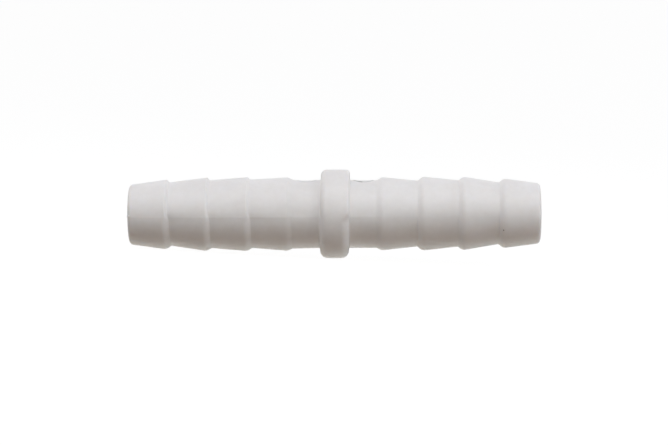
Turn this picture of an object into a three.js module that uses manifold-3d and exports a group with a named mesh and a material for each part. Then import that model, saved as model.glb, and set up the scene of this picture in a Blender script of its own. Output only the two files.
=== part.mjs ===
// Straight barbed joiner for hose of 10 mm bore, moulded in one piece in white plastic.
// Millimetres. The bore runs along X and +Z is up. The origin is the collar's centre, on the bore's axis.

import * as THREE from "three";
import { mergeVertices } from "three/addons/utils/BufferGeometryUtils.js";
import Module from "manifold-3d";

// Driving dimensions
const HALF_LENGTH = 34;

const COLLAR_RADIUS = 7.35;
const COLLAR_HALF_WIDTH = 2.35;
const COLLAR_EDGE = 0.9;
const COLLAR_FILLET = 0.25;

const NECK_RADIUS = 5.64;

// Every barb is a cone that narrows outwards, with a short sloping back face towards the collar.
// The barbs are listed from the collar outwards, by the radius at each end of the cone.
const BARBS = [
  { crest: 6.07, end: 5.55 },
  { crest: 6.13, end: 5.55 },
  { crest: 6.08, end: 5.19 },
  { crest: 5.76, end: 4.95 },
];
const FIRST_CREST = 7.8;
const CREST_PITCH = 6.7;
const BACK_RUN = 0.85;
const CREST_EDGE = 0.75;
const FOOT_FILLET = 0.25;
const TIP_EDGE = 0.65;

// The bore is drafted from its middle towards both mouths, which are chamfered.
const BORE_MIDDLE_RADIUS = 3.4;
const BORE_MOUTH_RADIUS = 3.5;
const MOUTH_CHAMFER = 0.25;

// One ejector pin's mark is pressed into the top of each neck.
const PIN_MARK_AT = 4.7;
const PIN_MARK_RADIUS = 1.5;
const PIN_MARK_DEPTH = 0.15;
const PIN_HEIGHT = 2;

// Facets: ROUND_STEPS is a multiple of 4, so that the body's widest points lie on Y and on Z.
const ROUND_STEPS = 40;
const PIN_STEPS = 24;
const ARC_STEP = THREE.MathUtils.degToRad(25);
const MERGE_TOLERANCE = 1e-4;

const WHITE_PLASTIC = { color: 0xdedbd8, roughness: 0.4, metalness: 0 };

const wasm = await Module();
wasm.setup();

// The outline of one tail: its corners from the collar's edge out to the bore's mouth.
function tailCorners() {
  const corners = [
    { x: COLLAR_HALF_WIDTH, r: COLLAR_RADIUS, edge: COLLAR_EDGE },
    { x: COLLAR_HALF_WIDTH, r: NECK_RADIUS, edge: COLLAR_FILLET },
  ];
  let foot = NECK_RADIUS;
  BARBS.forEach((barb, index) => {
    const crest = FIRST_CREST + index * CREST_PITCH;
    corners.push({ x: crest - BACK_RUN, r: foot, edge: FOOT_FILLET });
    corners.push({ x: crest, r: barb.crest, edge: CREST_EDGE });
    foot = barb.end;
  });
  corners.push({ x: HALF_LENGTH, r: foot, edge: TIP_EDGE });
  corners.push({ x: HALF_LENGTH, r: BORE_MOUTH_RADIUS + MOUTH_CHAMFER, edge: 0 });
  corners.push({ x: HALF_LENGTH - MOUTH_CHAMFER, r: BORE_MOUTH_RADIUS, edge: 0 });
  return corners;
}

// The points that stand for one corner: an arc of the edge's radius, tangent to both sides.
function cornerPoints(before, corner, after) {
  const here = new THREE.Vector2(corner.r, corner.x);
  if (corner.edge === 0) return [here];
  const back = new THREE.Vector2(before.r, before.x).sub(here).normalize();
  const on = new THREE.Vector2(after.r, after.x).sub(here).normalize();
  const half = Math.acos(THREE.MathUtils.clamp(back.dot(on), -1, 1)) / 2;
  const inward = back.clone().add(on).normalize();
  const centre = here.clone().addScaledVector(inward, corner.edge / Math.sin(half));
  const start = here.clone().addScaledVector(back, corner.edge / Math.tan(half)).sub(centre);
  const sweep = Math.sign(back.cross(on)) * (half * 2 - Math.PI);
  const steps = Math.max(1, Math.ceil(Math.abs(sweep) / ARC_STEP));
  const points = [];
  for (let step = 0; step <= steps; step += 1) {
    const turn = (sweep * step) / steps;
    const spoke = start.clone().rotateAround(new THREE.Vector2(), turn);
    points.push(centre.clone().add(spoke));
  }
  return points;
}

// The whole section, as one closed loop: out along the outside, and back through the bore.
function sectionLoop() {
  const right = tailCorners();
  const left = right.map((corner) => ({ ...corner, x: -corner.x })).reverse();
  const corners = [...right, { x: 0, r: BORE_MIDDLE_RADIUS, edge: 0 }, ...left];
  const count = corners.length;
  const loop = corners.flatMap((corner, index) =>
    cornerPoints(corners[(index + count - 1) % count], corner, corners[(index + 1) % count]),
  );
  return [...loop, loop[0].clone()];
}

function solidOf(geometry) {
  geometry.deleteAttribute("normal");
  geometry.deleteAttribute("uv");
  const merged = mergeVertices(geometry, MERGE_TOLERANCE);
  const vertProperties = merged.attributes.position.array;
  const triVerts = new Uint32Array(merged.index.array);
  return new wasm.Manifold(new wasm.Mesh({ numProp: 3, vertProperties, triVerts }));
}

function geometryOf(solid) {
  const mesh = solid.getMesh();
  const geometry = new THREE.BufferGeometry();
  geometry.setAttribute("position", new THREE.BufferAttribute(mesh.vertProperties, 3));
  geometry.setIndex(new THREE.BufferAttribute(mesh.triVerts, 1));
  geometry.computeVertexNormals();
  return geometry;
}

// The end of an ejector pin, standing on the flat that it leaves in the top of a neck.
function ejectorPin(x) {
  const pin = new THREE.CylinderGeometry(PIN_MARK_RADIUS, PIN_MARK_RADIUS, PIN_HEIGHT, PIN_STEPS);
  pin.rotateX(Math.PI / 2);
  pin.translate(x, 0, NECK_RADIUS - PIN_MARK_DEPTH + PIN_HEIGHT / 2);
  return solidOf(pin);
}

function joinerBody() {
  const turned = new THREE.LatheGeometry(sectionLoop(), ROUND_STEPS);
  turned.rotateZ(-Math.PI / 2);
  const body = solidOf(turned)
    .subtract(ejectorPin(PIN_MARK_AT))
    .subtract(ejectorPin(-PIN_MARK_AT));
  const mesh = new THREE.Mesh(geometryOf(body), new THREE.MeshStandardMaterial(WHITE_PLASTIC));
  mesh.name = "joiner_body";
  return mesh;
}

const joiner = new THREE.Group();
joiner.add(joinerBody());

export default joiner;
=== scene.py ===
"""Looks for the straight barbed hose joiner: one white plastic moulding on a pale studio sweep.

The moulding is one fine mesh, turned from the same section as the CAD body, with what a mould leaves on
it: the parting line, the ejector pins' marks, the cut gate, a slight waviness, a stub of flash on the left
tip, and a step in the bore where the two core pins meet.
"""

import math

import bpy
import numpy as np
from mathutils import Matrix, Vector


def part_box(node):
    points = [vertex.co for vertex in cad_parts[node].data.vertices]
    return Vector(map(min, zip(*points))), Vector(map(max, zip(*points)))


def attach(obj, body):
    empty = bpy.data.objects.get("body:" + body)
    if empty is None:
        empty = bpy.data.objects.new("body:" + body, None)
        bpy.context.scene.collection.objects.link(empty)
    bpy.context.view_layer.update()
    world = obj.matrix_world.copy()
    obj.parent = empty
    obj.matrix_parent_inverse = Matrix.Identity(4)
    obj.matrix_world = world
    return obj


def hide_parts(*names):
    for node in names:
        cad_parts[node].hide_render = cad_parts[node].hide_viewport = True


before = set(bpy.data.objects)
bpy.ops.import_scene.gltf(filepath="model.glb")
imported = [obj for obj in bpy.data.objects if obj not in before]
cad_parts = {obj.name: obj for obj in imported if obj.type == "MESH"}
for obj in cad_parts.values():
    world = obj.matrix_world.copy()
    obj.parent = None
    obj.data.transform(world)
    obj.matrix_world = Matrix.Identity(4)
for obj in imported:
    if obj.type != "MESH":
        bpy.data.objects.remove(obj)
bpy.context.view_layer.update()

BODY = "root"
NODE = "joiner_body"
MM = 0.001
SEED = 11

# The section, in millimetres, as the CAD body has it. The overall sizes come from the frame, less room for
# the flash. Each barb is given by its radius at the crest and at the outer end of its cone.
low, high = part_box(NODE)
FLASH_ROOM = 0.015
NUB_HEIGHT = 0.08
HALF_LENGTH = high.x / MM - NUB_HEIGHT
COLLAR_RADIUS = high.z / MM - FLASH_ROOM
COLLAR_HALF_WIDTH = 2.35
COLLAR_FILLET = 0.25
NECK_RADIUS = 5.64
BARBS = [(6.07, 5.55), (6.13, 5.55), (6.08, 5.19), (5.76, 4.95)]
FIRST_CREST = 7.8
CREST_PITCH = 6.7
TIP_EDGE = 0.65
BORE_MIDDLE_RADIUS = 3.4
BORE_MOUTH_RADIUS = 3.5
MOUTH_EDGE = 0.25

# What differs between the mould's two halves, and between their two tails: the radii that round the
# collar's edge and the crests, then for the four barbs from the collar outwards the radii that round their
# feet, the run of their back faces, and how far the feet stand out from the plain section.
PLAIN_TAIL = {
    "collar": 0.9,
    "crest": 0.75,
    "foot": (0.25, 0.25, 0.25, 0.25),
    "run": (0.85, 0.85, 0.85, 0.85),
    "lift": (0.0, 0.0, 0.0, 0.0),
}
HALVES = {
    "upper": {
        "left": {
            "collar": 0.85,
            "crest": 0.15,
            "foot": (2.4, 0.4, 0.4, 0.4),
            "run": (0.9, 0.42, 0.42, 0.42),
            "lift": (-0.05, 0.19, 0.13, 0.12),
        },
        "right": {
            "collar": 0.5,
            "crest": 1.0,
            "foot": (0.25, 0.25, 0.25, 0.25),
            "run": (0.9, 0.8, 0.75, 0.8),
            "lift": (-0.07, -0.09, -0.05, -0.06),
        },
    },
    "lower": {
        "left": {
            "collar": 1.1,
            "crest": 1.2,
            "foot": (0.25, 0.25, 0.25, 0.25),
            "run": (0.85, 0.85, 0.85, 0.85),
            "lift": (0.08, 0.08, 0.04, 0.0),
        },
        "right": {
            "collar": 1.15,
            "crest": 1.2,
            "foot": (0.25, 0.25, 0.25, 0.25),
            "run": (0.85, 0.85, 0.85, 0.85),
            "lift": (0.03, -0.12, -0.08, -0.11),
        },
    },
}
# How far the collar's radius has fallen 1 mm to either side of its middle.
COLLAR_CROWN = {"upper": 0.005, "lower": 0.025}
# How far the upper half is shifted to the right, by the place along the joiner.
SHIFT_PLACES = (-4.0, -2.7, 2.7, 4.0)
UPPER_SHIFTS = (0.12, 0.16, 0.16, 0.08)
# How far above and below the parting line the two halves' sections are blended.
HALVES_BLEND = 0.9

# How finely the section and the round are cut. The steps on the collar and neck, on the barbs and in the
# bore are in millimetres, and the others in degrees. The offsets are from each parting line.
ARC_STEP = 12
NECK_STEP = 0.17
BARB_STEP = 0.5
BORE_STEP = 2.4
ROUND_STEP = 1.46
SEAM_OFFSETS = [0.3, 0.65, 1.0, 1.4, 1.8, 2.3, 2.9]

# What the mould leaves: sizes and places in millimetres, and shares.
SEAM_RIDGE = 0.045
SEAM_REACH = 1.2
SEAM_DROP = 0.15
SEAM_PEAK_AT = -9.0
SEAM_SPREAD = 20.0
SEAM_LEAST = 0.25
SEAM_ON_COLLAR = 0.2
SEAM_WIDTH = 0.09
FLASH_HEIGHT = 0.012
FLASH_AT_MIDDLE = 0.7
FLASH_TOWARDS_LEFT = 0.5
FLASH_MEAN = 0.75
FLASH_RAGGED = 0.45
FLASH_MOST = 1.4
NUB_WIDTH = 0.12
PIN_MARK_AT = 4.7
PIN_MARK_RADIUS = 1.5
PIN_MARK_DEPTH = 0.15
PIN_MARK_EDGE = 0.07
PIN_BURR = 0.025
PIN_BURR_AT = 0.08
PIN_BURR_WIDTH = 0.09
GATE_RADIUS = 0.95
GATE_DEPTH = 0.07
GATE_EDGE = 0.08
GATE_MEAN = 0.5
GATE_ROUGH = 0.25
WAVINESS = 0.008
# The left core pin is thicker than the right one by this step, which fades over the width.
CORE_STEP = 0.05
CORE_STEP_WIDTH = 0.25
# The ridge and the waviness fade out towards each end, between these two distances from it.
PLAIN_TIP = (0.05, 0.4)
# Further than any mark reaches, to keep a mark to its own side.
FAR = 10

# How dark the marks are painted, part dirt and part painted shade in their hollows: on the rims of the left
# pin's and the right pin's, and of the gate.
# A pin mark's floor has a share of its rim's, and its darkening is heavier towards the front.
PIN_GRIME_AND_SHADE = {-1: 0.22, 1: 1.35}
GATE_GRIME_AND_SHADE = 0.3
RIM_GRIME_AND_SHADE_WIDTH = 0.18
FLOOR_GRIME_AND_SHADE = 0.12
GRIME_AND_SHADE_AT_MIDDLE = 0.7
GRIME_AND_SHADE_TOWARDS_FRONT = 0.3


def smooth(edge0, edge1, value):
    t = np.clip((value - edge0) / (edge1 - edge0), 0.0, 1.0)
    return t * t * (3.0 - 2.0 * t)


# --- the section ----------------------------------------------------------------------------------


def tail_corners(shape):
    """One tail's corners, as (x, r, edge radius, step to the next), from the collar to the bore's mouth."""
    corners = [
        (COLLAR_HALF_WIDTH, COLLAR_RADIUS, shape["collar"], NECK_STEP),
        (COLLAR_HALF_WIDTH, NECK_RADIUS, COLLAR_FILLET, NECK_STEP),
    ]
    foot = NECK_RADIUS
    for index, (crest_radius, end_radius) in enumerate(BARBS):
        crest = FIRST_CREST + index * CREST_PITCH
        foot += shape["lift"][index]
        corners.append((crest - shape["run"][index], foot, shape["foot"][index], BARB_STEP))
        corners.append((crest, crest_radius, shape["crest"], BARB_STEP))
        foot = end_radius
    corners.append((HALF_LENGTH, foot, TIP_EDGE, BARB_STEP))
    corners.append((HALF_LENGTH, BORE_MOUTH_RADIUS + MOUTH_EDGE, MOUTH_EDGE, BARB_STEP))
    corners.append((HALF_LENGTH - MOUTH_EDGE * 2, BORE_MOUTH_RADIUS, MOUTH_EDGE, BORE_STEP))
    return corners


def section_corners(left_shape, right_shape):
    """The corners all round the section: out along the right tail, and through the bore to the left."""
    right = tail_corners(right_shape)
    left = [(-x, r, edge, step) for x, r, edge, step in reversed(tail_corners(left_shape))]
    # a straight takes the step of the corner before it, so the mirrored side takes its next corner's
    left = [(x, r, edge, left[min(i + 1, len(left) - 1)][3]) for i, (x, r, edge, _) in enumerate(left)]
    return right + [(0.0, BORE_MIDDLE_RADIUS, 0, BORE_STEP)] + left


def corner_turn(before, here, after):
    """How far the outline turns at one corner, in radians, and the ways back and on from it."""
    back = (before - here).normalized()
    on = (after - here).normalized()
    return math.pi - math.acos(max(-1.0, min(1.0, back.dot(on)))), back, on


def corner_arc(before, here, after, edge, count):
    """Points of the arc that rounds one corner, tangent to both of its sides."""
    if edge == 0:
        return [here]
    turn, back, on = corner_turn(before, here, after)
    centre = here + (back + on).normalized() * (edge / math.cos(turn / 2))
    spoke = here + back * (edge * math.tan(turn / 2)) - centre
    sweep = math.copysign(turn, on.x * back.y - on.y * back.x)
    return [centre + Matrix.Rotation(sweep * i / count, 2) @ spoke for i in range(count + 1)]


def upper_shift(x):
    """How far the upper half is shifted at one place along the joiner."""
    return np.interp(x, SHIFT_PLACES, UPPER_SHIFTS)


def section_loop(half):
    """The closed section of one mould half, as an array of (x, r). Both halves have as many points."""
    plain = section_corners(PLAIN_TAIL, PLAIN_TAIL)
    corners = section_corners(HALVES[half]["left"], HALVES[half]["right"])
    plain_at = [Vector(corner[:2]) for corner in plain]
    at = [Vector(corner[:2]) for corner in corners]
    arcs = []
    for i, (_, _, edge, _) in enumerate(corners):
        following = (i + 1) % len(corners)
        turn = corner_turn(plain_at[i - 1], plain_at[i], plain_at[following])[0]
        count = max(2, math.ceil(math.degrees(turn) / ARC_STEP))
        arcs.append(corner_arc(at[i - 1], at[i], at[following], edge, count))
    loop = []
    for i, arc in enumerate(arcs):
        following = (i + 1) % len(arcs)
        loop += arc
        count = max(1, round((plain_at[following] - plain_at[i]).length / plain[i][3]))
        loop += [arc[-1].lerp(arcs[following][0], k / count) for k in range(1, count)]
    loop = np.array([tuple(point) for point in loop])
    raised = np.clip((loop[:, 1] - NECK_RADIUS) / (COLLAR_RADIUS - NECK_RADIUS), 0.0, 1.0)
    loop[:, 1] -= COLLAR_CROWN[half] * loop[:, 0] ** 2 * raised * (np.abs(loop[:, 0]) <= COLLAR_HALF_WIDTH)
    if half == "upper":
        outside = loop[:, 1] > BORE_MOUTH_RADIUS + MOUTH_EDGE
        loop[:, 0] += upper_shift(loop[:, 0]) * outside * (np.abs(loop[:, 0]) < HALF_LENGTH - TIP_EDGE)
    return loop


def outer_radius(half, x):
    """The radius of the outside at one place along the joiner."""
    loop = section_loop(half)
    outside = loop[loop[:, 1] > BORE_MOUTH_RADIUS + MOUTH_EDGE]
    outside = outside[np.argsort(outside[:, 0])]
    return float(np.interp(x, outside[:, 0], outside[:, 1]))


def section_normals(loop):
    """Unit normals of the section, pointing out of the plastic."""
    along = np.roll(loop, -1, 0) - np.roll(loop, 1, 0)
    normals = np.stack([-along[:, 1], along[:, 0]], 1)
    return normals / np.linalg.norm(normals, axis=1, keepdims=True)


def round_angles():
    """Angles round the axis in radians, 0 at the back, closer together near both parting lines."""
    clear = SEAM_OFFSETS[-1]
    plain_count = round((180 - 2 * clear) / ROUND_STEP)
    half = [0.0, *SEAM_OFFSETS]
    half += [clear + (180 - 2 * clear) * k / plain_count for k in range(1, plain_count)]
    half += [180 - offset for offset in reversed(SEAM_OFFSETS)]
    return np.radians(np.array(half + [180 + angle for angle in half]))


# --- the marks of the mould -----------------------------------------------------------------------


class Waves:
    """A smooth random height, the same at both ends of the round."""

    def __init__(self, rng, count, shortest, longest, most_round):
        self.pitch = 2 * math.pi / rng.uniform(shortest, longest, count)
        self.round = rng.integers(0, most_round + 1, count)
        self.phase = rng.uniform(0, 2 * math.pi, count)

    def __call__(self, x, angle):
        total = np.zeros(np.broadcast(x, angle).shape)
        for pitch, turns, phase in zip(self.pitch, self.round, self.phase):
            total += np.cos(pitch * x + turns * angle + phase)
        return total / math.sqrt(len(self.phase))


def seam_height(x, z, rng):
    """The low ridge along the parting line, highest left of the middle, and the ragged flash on it."""
    ragged = Waves(rng, count=9, shortest=0.7, longest=9.0, most_round=0)(x, 0.0)
    share = SEAM_LEAST + (1 - SEAM_LEAST) * np.exp(-(((x - SEAM_PEAK_AT) / SEAM_SPREAD) ** 2))
    share = share * np.where(np.abs(x) < COLLAR_HALF_WIDTH, SEAM_ON_COLLAR, 1.0)
    below = z + SEAM_DROP
    ridge = SEAM_RIDGE * share * np.exp(-np.sqrt(below**2 + SEAM_WIDTH**2) / SEAM_REACH)
    flash = FLASH_HEIGHT * share * (FLASH_AT_MIDDLE - FLASH_TOWARDS_LEFT * x / HALF_LENGTH)
    flash = flash * np.clip(FLASH_MEAN + FLASH_RAGGED * ragged, 0.0, FLASH_MOST)
    return ridge + flash * np.exp(-((below / SEAM_WIDTH) ** 2))


def section_edges(loop):
    """How far each point of the section lies on an outer rounded edge, from 0 to 1."""
    on = np.roll(loop, -1, 0) - loop
    on = on / np.linalg.norm(on, axis=1, keepdims=True)
    before = np.roll(on, 1, 0)
    turn = before[:, 1] * on[:, 0] - before[:, 0] * on[:, 1]
    return np.clip(turn / math.sin(math.radians(ARC_STEP / 2)), 0.0, 1.0)


def blended(in_upper, upper, lower):
    """Values along the upper and the lower section, blended across the parting line."""
    return in_upper * upper[:, None] + (1 - in_upper) * lower[:, None]


def moulding_points(upper, lower, angles, rng):
    """Every vertex in millimetres, how dark it is painted with dirt and painted shade in the marks'
    hollows, and how much of an edge.
    """
    angle = angles[None, :] * np.ones((len(upper), 1))
    in_upper = smooth(-HALVES_BLEND, HALVES_BLEND, upper[:, 1][:, None] * np.sin(angle) + SEAM_DROP)
    upper_normals, lower_normals = section_normals(upper), section_normals(lower)
    x, r = (blended(in_upper, upper[:, k], lower[:, k]) for k in (0, 1))
    along, out = (blended(in_upper, upper_normals[:, k], lower_normals[:, k]) for k in (0, 1))
    outside = (r > BORE_MOUTH_RADIUS + MOUTH_EDGE).astype(float)
    off_tip = smooth(HALF_LENGTH - PLAIN_TIP[0], HALF_LENGTH - PLAIN_TIP[1], np.abs(x))

    z = r * np.sin(angle)
    front = np.cos(angle) < 0
    height = seam_height(x, z, rng) * outside * off_tip
    nub = np.exp(-((z / NUB_WIDTH) ** 2)) * front * (x < -HALF_LENGTH + TIP_EDGE / 2)
    height += NUB_HEIGHT * nub * outside
    waves = Waves(rng, count=14, shortest=4.0, longest=30.0, most_round=5)(x, angle)
    height += WAVINESS * waves * outside * off_tip * (np.abs(x) > COLLAR_HALF_WIDTH)
    height -= CORE_STEP * smooth(CORE_STEP_WIDTH, 0.0, x) * (1 - outside)

    gate = np.hypot(x, z) + FAR * front
    cut = GATE_MEAN + GATE_ROUGH * Waves(rng, count=12, shortest=0.3, longest=1.2, most_round=40)(x, angle)
    height -= GATE_DEPTH * cut * smooth(GATE_RADIUS + GATE_EDGE, GATE_RADIUS - GATE_EDGE, gate) * outside

    x = x + along * height
    r = r + out * height
    y = r * np.cos(angle)
    z = r * np.sin(angle)

    # Dirt and painted shade darken the rims of the gate and the pin marks and the pins' floors, where their
    # hollows would lie in shadow.
    grime_and_shade = GATE_GRIME_AND_SHADE * np.exp(-(((gate - GATE_RADIUS) / RIM_GRIME_AND_SHADE_WIDTH) ** 2)) * outside
    for side in PIN_GRIME_AND_SHADE:
        mark = side * PIN_MARK_AT + upper_shift(side * PIN_MARK_AT)
        reach = np.hypot(x - mark, y) + FAR * (z < 0) + FAR * (1 - outside)
        floor = NECK_RADIUS - PIN_MARK_DEPTH
        inside = smooth(PIN_MARK_RADIUS + PIN_MARK_EDGE, PIN_MARK_RADIUS - PIN_MARK_EDGE, reach)
        z = z + inside * (np.minimum(z, floor) - z)
        off_burr = reach - PIN_MARK_RADIUS - PIN_BURR_AT
        z = z + PIN_BURR * np.exp(-((off_burr / PIN_BURR_WIDTH) ** 2))
        rim = np.exp(-((off_burr / RIM_GRIME_AND_SHADE_WIDTH) ** 2))
        share = PIN_GRIME_AND_SHADE[side] * (GRIME_AND_SHADE_AT_MIDDLE - GRIME_AND_SHADE_TOWARDS_FRONT * y / PIN_MARK_RADIUS)
        grime_and_shade = np.maximum(grime_and_shade, np.maximum(rim, FLOOR_GRIME_AND_SHADE * inside) * share)
    edge = section_edges(upper)[:, None] * np.ones(len(angles)) * outside
    return np.stack([x, y, z], 2), {"grime_and_shade": grime_and_shade, "edge": edge}


def build_moulding():
    rng = np.random.default_rng(SEED)
    upper, lower = section_loop("upper"), section_loop("lower")
    angles = round_angles()
    points, looks = moulding_points(upper, lower, angles, rng)
    rows, columns = len(upper), len(angles)
    index = np.arange(rows * columns).reshape(rows, columns)
    on_row = np.roll(index, -1, 0)
    quads = np.stack([index, np.roll(index, -1, 1), np.roll(on_row, -1, 1), on_row], 2).reshape(-1, 4)

    mesh = bpy.data.meshes.new("joiner_moulding")
    mesh.from_pydata((points.reshape(-1, 3) * MM).tolist(), [], quads.tolist())
    mesh.polygons.foreach_set("use_smooth", [True] * len(quads))
    for name, values in looks.items():
        layer = mesh.attributes.new(name, "FLOAT", "POINT")
        layer.data.foreach_set("value", values.reshape(-1).astype(np.float32))
    mesh.update()
    piece = bpy.data.objects.new("joiner_moulding", mesh)
    bpy.context.scene.collection.objects.link(piece)
    print("moulding:", rows, "rows,", columns, "columns,", 2 * len(quads), "triangles")
    return piece


# --- materials ------------------------------------------------------------------------------------


def new_material(name):
    material = bpy.data.materials.new(name)
    material.use_nodes = True
    material.node_tree.nodes.clear()
    return material, material.node_tree.nodes, material.node_tree.links


def noise_node(nodes, links, coords, scale, detail, roughness=0.5):
    node = nodes.new("ShaderNodeTexNoise")
    node.inputs["Scale"].default_value = scale
    node.inputs["Detail"].default_value = detail
    node.inputs["Roughness"].default_value = roughness
    links.new(coords, node.inputs["Vector"])
    return node.outputs["Fac"]


def ranged(nodes, links, value, low, high, from_low=0.0, from_high=1.0):
    node = nodes.new("ShaderNodeMapRange")
    node.inputs["From Min"].default_value = from_low
    node.inputs["From Max"].default_value = from_high
    node.inputs["To Min"].default_value = low
    node.inputs["To Max"].default_value = high
    links.new(value, node.inputs["Value"])
    return node.outputs["Result"]


def mixed(nodes, links, factor, a, b):
    node = nodes.new("ShaderNodeMix")
    node.data_type = "RGBA"
    for value, socket in ((factor, node.inputs[0]), (a, node.inputs[6]), (b, node.inputs[7])):
        if isinstance(value, bpy.types.NodeSocket):
            links.new(value, socket)
        else:
            socket.default_value = value
    return node.outputs[2]


def math_node(nodes, links, operation, a, b):
    node = nodes.new("ShaderNodeMath")
    node.operation = operation
    for value, socket in zip((a, b), node.inputs):
        if isinstance(value, bpy.types.NodeSocket):
            links.new(value, socket)
        else:
            socket.default_value = value
    return node.outputs[0]


def attribute_node(nodes, name):
    node = nodes.new("ShaderNodeAttribute")
    node.attribute_name = name
    return node.outputs["Fac"]


def placed_fleck(nodes, links, coords, x, turn, radius):
    """1 inside a small round fleck at a place along the front of the moulding and an angle, 0 outside."""
    reach = outer_radius("upper" if turn > 0 else "lower", x)
    turn = math.radians(turn)
    node = nodes.new("ShaderNodeVectorMath")
    node.operation = "DISTANCE"
    links.new(coords, node.inputs[0])
    node.inputs[1].default_value = Vector((x, -reach * math.cos(turn), reach * math.sin(turn))) * MM
    core, rim = (share * radius * MM for share in FLECK_EDGE)
    return ranged(nodes, links, node.outputs["Value"], 1, 0, core, rim)


def scattered_specks(nodes, links, coords):
    """1 inside the rare specks of dark regrind in the plastic, and 0 outside."""
    cells = nodes.new("ShaderNodeTexVoronoi")
    cells.inputs["Scale"].default_value = SPECK_CELLS
    links.new(coords, cells.inputs["Vector"])
    near = ranged(nodes, links, cells.outputs["Distance"], 1, 0, SPECK_CORE * SPECK_SIZE, SPECK_SIZE)
    pick = nodes.new("ShaderNodeSeparateColor")
    links.new(cells.outputs["Color"], pick.inputs["Color"])
    chosen = math_node(nodes, links, "GREATER_THAN", pick.outputs["Red"], 1 - SPECK_SHARE)
    return math_node(nodes, links, "MULTIPLY", near, chosen)


LIGHT_TONE = (0.845, 0.835, 0.83, 1)
DARK_TONE = (0.80, 0.785, 0.775, 1)
# The colour of the dark specks and flecks, and of the dirt and painted shade in the marks' hollows.
GRIME_AND_SHADE_TONE = (0.16, 0.145, 0.13, 1)
# Flecks by their place along the joiner in millimetres, their angle above the front in degrees, and their
# radius in millimetres.
FLECKS = [(27.7, -26, 0.11), (-10.45, -71, 0.09)]
# A fleck is solid out to the first share of its radius, and has faded out at the second.
FLECK_EDGE = (0.6, 1.3)
# Specks by how many cells there are to the metre, their radius in cells, how much of that is solid, and
# the share of cells with one.
SPECK_CELLS = 380
SPECK_SIZE = 0.03
SPECK_CORE = 0.6
SPECK_SHARE = 0.12
# Noise scales, per metre.
BROAD_MOTTLE = 190
CLOSE_MOTTLE = 1100
GRIME_AND_SHADE_PATCHES = 800
GRAIN = 2600
SCUFFS = 3200
# The part of a noise's range that nearly all of its values lie in.
NOISE_SPREAD = (0.3, 0.7)
CLOSE_MOTTLE_SHARE = 0.12
# How much of the dirt and painted shade its thinnest patches keep, and the noise values of the thinnest and
# the thickest.
GRIME_AND_SHADE_THINNEST = 0.3
GRIME_AND_SHADE_SPREAD = (0.4, 0.64)
ROUGHNESS = (0.44, 0.56)
WORN_SMOOTHER = -0.03
SCUFFS_ROUGHER = 0.08
SCUFFS_RELIEF = -0.5
SCUFF_SPREAD = (0.6, 0.72)
# The scuffs run along the joiner: how much the noise is squeezed on each axis.
SCUFF_STRETCH = (0.12, 1.0, 1.0)


def white_plastic():
    """Satin moulded plastic: mottled, grained and lightly scuffed, with dark specks, and marks darkened by
    dirt and painted shade in their hollows.
    """
    material, nodes, links = new_material("white_plastic")
    coords = nodes.new("ShaderNodeTexCoord").outputs["Object"]
    shader = nodes.new("ShaderNodeBsdfPrincipled")
    output = nodes.new("ShaderNodeOutputMaterial")
    links.new(shader.outputs["BSDF"], output.inputs["Surface"])

    broad = noise_node(nodes, links, coords, BROAD_MOTTLE, detail=3)
    close = noise_node(nodes, links, coords, CLOSE_MOTTLE, detail=4, roughness=0.6)
    close = ranged(nodes, links, close, -CLOSE_MOTTLE_SHARE, CLOSE_MOTTLE_SHARE, *NOISE_SPREAD)
    mottle = math_node(nodes, links, "ADD", broad, close)
    tone = mixed(nodes, links, ranged(nodes, links, mottle, 0, 1, *NOISE_SPREAD), DARK_TONE, LIGHT_TONE)

    patchy = noise_node(nodes, links, coords, GRIME_AND_SHADE_PATCHES, detail=2)
    patchy = ranged(nodes, links, patchy, GRIME_AND_SHADE_THINNEST, 1, *GRIME_AND_SHADE_SPREAD)
    # The marks' rims and floors darken with dirt and with painted shade, where their hollows would lie in
    # shadow.
    dirt_and_shade = math_node(nodes, links, "MULTIPLY", attribute_node(nodes, "grime_and_shade"), patchy)
    dark = math_node(nodes, links, "MAXIMUM", dirt_and_shade, scattered_specks(nodes, links, coords))
    for x, turn, radius in FLECKS:
        dark = math_node(nodes, links, "MAXIMUM", dark, placed_fleck(nodes, links, coords, x, turn, radius))
    links.new(mixed(nodes, links, dark, tone, GRIME_AND_SHADE_TONE), shader.inputs["Base Color"])

    grain = noise_node(nodes, links, coords, GRAIN, detail=3)
    stretch = nodes.new("ShaderNodeMapping")
    stretch.inputs["Scale"].default_value = SCUFF_STRETCH
    links.new(coords, stretch.inputs["Vector"])
    scuffs = noise_node(nodes, links, stretch.outputs["Vector"], SCUFFS, detail=2)
    scuffs = ranged(nodes, links, scuffs, 0, 1, *SCUFF_SPREAD)
    worn = math_node(nodes, links, "MULTIPLY", attribute_node(nodes, "edge"), WORN_SMOOTHER)
    rough = math_node(nodes, links, "ADD", ranged(nodes, links, grain, *ROUGHNESS, *NOISE_SPREAD), worn)
    rougher = math_node(nodes, links, "MULTIPLY", scuffs, SCUFFS_ROUGHER)
    links.new(math_node(nodes, links, "ADD", rough, rougher), shader.inputs["Roughness"])

    shader.inputs["Subsurface Weight"].default_value = 0.25
    shader.inputs["Subsurface Radius"].default_value = (1.0, 0.85, 0.7)
    shader.inputs["Subsurface Scale"].default_value = 0.0008
    shader.inputs["IOR"].default_value = 1.5

    sunk = math_node(nodes, links, "MULTIPLY", scuffs, SCUFFS_RELIEF)
    relief = math_node(nodes, links, "ADD", grain, sunk)
    bump = nodes.new("ShaderNodeBump")
    bump.inputs["Strength"].default_value = 0.08
    bump.inputs["Distance"].default_value = 0.000015
    links.new(relief, bump.inputs["Height"])
    links.new(bump.outputs["Normal"], shader.inputs["Normal"])
    return material


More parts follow.
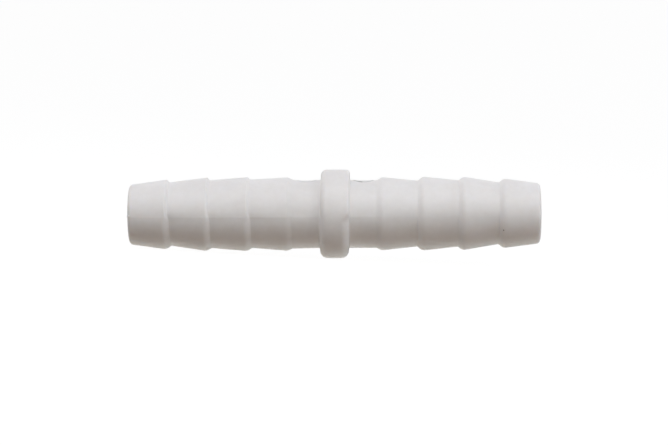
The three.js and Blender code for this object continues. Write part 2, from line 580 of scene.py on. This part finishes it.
def sweep_material():
    material, nodes, links = new_material("pale_sweep")
    shader = nodes.new("ShaderNodeBsdfPrincipled")
    output = nodes.new("ShaderNodeOutputMaterial")
    links.new(shader.outputs["BSDF"], output.inputs["Surface"])
    shader.inputs["Base Color"].default_value = (0.1, 0.1, 0.1, 1)
    shader.inputs["Roughness"].default_value = 0.9
    shader.inputs["Specular IOR Level"].default_value = 0.0
    shader.inputs["Emission Color"].default_value = (1, 1, 1, 1)
    shader.inputs["Emission Strength"].default_value = 0.94
    return material


# --- stage, lights and camera ---------------------------------------------------------------------


def direction(azimuth, elevation):
    """The way from the joiner towards an azimuth, 0 in front and 90 on the right, and an elevation."""
    turn, rise = math.radians(azimuth), math.radians(elevation)
    return Vector((math.sin(turn) * math.cos(rise), -math.cos(turn) * math.cos(rise), math.sin(rise)))


# The sweep, in metres, and how finely it is cut.
SWEEP_RADIUS = 1.6
SWEEP_FLAT = 0.7
SWEEP_RISE = 1.0
SWEEP_RINGS = 48
SWEEP_COLUMNS = 96

# How the joiner's tilt on the floor is found: between level and this many degrees, by halving.
STEEPEST_TILT = 10
HALVINGS = 40


def build_sweep():
    """A round floor whose rim rises as a studio sweep on every side."""
    rings, columns = SWEEP_RINGS, SWEEP_COLUMNS
    verts, faces = [(0, 0, 0)], []
    for ring in range(1, rings + 1):
        reach = SWEEP_RADIUS * ring / rings
        lift = SWEEP_RISE * max(0.0, (reach - SWEEP_FLAT) / (SWEEP_RADIUS - SWEEP_FLAT)) ** 2
        for column in range(columns):
            angle = 2 * math.pi * column / columns
            verts.append((reach * math.cos(angle), reach * math.sin(angle), lift))
    for column in range(columns):
        faces.append((0, 1 + column, 1 + (column + 1) % columns))
    for ring in range(rings - 1):
        for column in range(columns):
            a = 1 + ring * columns + column
            b = 1 + ring * columns + (column + 1) % columns
            faces.append((a, a + columns, b + columns, b))
    mesh = bpy.data.meshes.new("sweep")
    mesh.from_pydata(verts, [], faces)
    mesh.polygons.foreach_set("use_smooth", [True] * len(faces))
    sweep = bpy.data.objects.new("sweep", mesh)
    bpy.context.scene.collection.objects.link(sweep)
    return sweep


def tilted_floor(section):
    """Where the floor lies: the joiner rests on its collar and on the left tail's outermost crest."""
    under = np.stack([section[:, 0], -section[:, 1]], 1) * MM
    collar = under[np.abs(under[:, 0]) <= COLLAR_HALF_WIDTH * MM]
    tail = under[under[:, 0] < -FIRST_CREST * MM]
    least, most = 0.0, math.radians(STEEPEST_TILT)
    for _ in range(HALVINGS):
        tilt = (least + most) / 2
        lift = np.array([math.sin(tilt), math.cos(tilt)])
        if (tail @ lift).min() > (collar @ lift).min():
            least = tilt
        else:
            most = tilt
    depth = (collar @ lift).min()
    return Matrix.Rotation(tilt, 4, "Y") @ Matrix.Translation((0, 0, depth))


def build_stage():
    """The sweep shows to the camera only, so that the lights alone shape the joiner."""
    sweep = build_sweep()
    sweep.data.materials.append(sweep_material())
    sweep.matrix_world = tilted_floor(section_loop("lower"))
    sweep.visible_diffuse = False
    sweep.visible_glossy = False
    sweep.visible_transmission = False
    sweep.visible_shadow = False


# Each light by its azimuth and elevation in degrees, its size in metres, its power in watts and its colour.
LIGHT_REACH = 0.55
WIDE = (0.6, 0.28)
SMALL = (0.3, 0.28)
STRIP = (0.12, 0.5)
LIGHTS = {
    "front_top": (0, 60, WIDE, 0.89, (0.88, 0.91, 1.0)),
    "front_strip": (0, 25, STRIP, 0.72, (1.0, 0.96, 0.87)),
    "left_strip": (-75, 25, STRIP, 0.24, (1.0, 0.88, 0.79)),
    "right_strip": (50, 25, STRIP, 0.51, (1.0, 0.98, 0.93)),
    "far_right_strip": (75, 25, STRIP, 0.44, (0.92, 0.93, 1.0)),
    "right_end": (90, 10, SMALL, 0.37, (0.89, 0.90, 1.0)),
    "back_left_low": (-150, -30, WIDE, 0.61, (1.0, 0.97, 0.87)),
    "back_right_low": (150, -30, WIDE, 0.53, (0.94, 1.0, 0.99)),
    "back_under": (180, -60, WIDE, 0.69, (0.71, 0.95, 1.0)),
}

# The glow of the tent round the joiner: bands of directions, each by the heights on the unit sphere where
# it starts, peaks and ends, the side that it is on, its strength and its colour.
GLOW_BANDS = {
    "ground_behind": ((-2.0, -1.0, -0.6), (0, 1, 0), 1.58, (1.0, 0.73, 0.59)),
    "sky_behind": ((0.0, 0.3, 0.6), (0, 1, 0), 1.42, (1.0, 1.0, 0.97)),
    "sky_left": ((0.3, 0.6, 1.0), (-1, 0, 0), 1.51, (0.95, 0.95, 1.0)),
}


def build_lights():
    """Soft area lights round the joiner, all facing it."""
    for name, (azimuth, elevation, size, power, color) in LIGHTS.items():
        light = bpy.data.lights.new(name, "AREA")
        light.shape = "RECTANGLE"
        light.size, light.size_y = size
        light.energy = power
        light.color = color
        lamp = bpy.data.objects.new(name, light)
        lamp.location = direction(azimuth, elevation) * LIGHT_REACH
        lamp.rotation_euler = (-lamp.location).to_track_quat("-Z", "Y").to_euler()
        lamp.visible_camera = False
        bpy.context.scene.collection.objects.link(lamp)


def build_world():
    """The world's background is the sum of the glow bands."""
    world = bpy.data.worlds.new("studio")
    bpy.context.scene.world = world
    world.use_nodes = True
    nodes, links = world.node_tree.nodes, world.node_tree.links
    way = nodes.new("ShaderNodeTexCoord").outputs["Generated"]
    parts = nodes.new("ShaderNodeSeparateXYZ")
    links.new(way, parts.inputs["Vector"])
    glow = None
    for (start, peak, end), side, strength, color in GLOW_BANDS.values():
        rising = ranged(nodes, links, parts.outputs["Z"], 0, 1, start, peak)
        falling = ranged(nodes, links, parts.outputs["Z"], 1, 0, peak, end)
        facing = nodes.new("ShaderNodeVectorMath")
        facing.operation = "DOT_PRODUCT"
        links.new(way, facing.inputs[0])
        facing.inputs[1].default_value = side
        share = ranged(nodes, links, facing.outputs["Value"], 0, 1, -1, 1)
        band = math_node(nodes, links, "MULTIPLY", rising, falling)
        band = math_node(nodes, links, "MULTIPLY", band, share)
        tinted = nodes.new("ShaderNodeVectorMath")
        tinted.operation = "SCALE"
        tinted.inputs[0].default_value = [strength * value for value in color]
        links.new(band, tinted.inputs["Scale"])
        if glow is None:
            glow = tinted.outputs["Vector"]
        else:
            total = nodes.new("ShaderNodeVectorMath")
            links.new(glow, total.inputs[0])
            links.new(tinted.outputs["Vector"], total.inputs[1])
            glow = total.outputs["Vector"]
    links.new(glow, nodes["Background"].inputs["Color"])


# The camera's place round the point that it looks at: degrees, metres, and the lens in millimetres.
VIEW_AZIMUTH = 1.2
VIEW_ELEVATION = 4.0
VIEW_DISTANCE = 0.4
VIEW_ROLL = -0.26
VIEW_LENS = 130.2
AIM = Vector((-0.0001, 0, -0.00143))


def build_camera():
    camera = bpy.data.objects.new("camera", bpy.data.cameras.new("camera"))
    bpy.context.scene.collection.objects.link(camera)
    away = direction(VIEW_AZIMUTH, VIEW_ELEVATION)
    turn = (-away).to_track_quat("-Z", "Y").to_matrix().to_4x4()
    roll = Matrix.Rotation(math.radians(VIEW_ROLL), 4, "Z")
    camera.matrix_world = Matrix.Translation(AIM + away * VIEW_DISTANCE) @ turn @ roll
    camera.data.lens = VIEW_LENS
    camera.data.sensor_width = 36
    camera.data.clip_start = 0.01
    bpy.context.scene.camera = camera


moulding = build_moulding()
moulding.data.materials.append(white_plastic())
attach(moulding, BODY)
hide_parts(NODE)

build_stage()
build_lights()
build_world()
build_camera()
bpy.context.scene.view_settings.view_transform = "Standard"
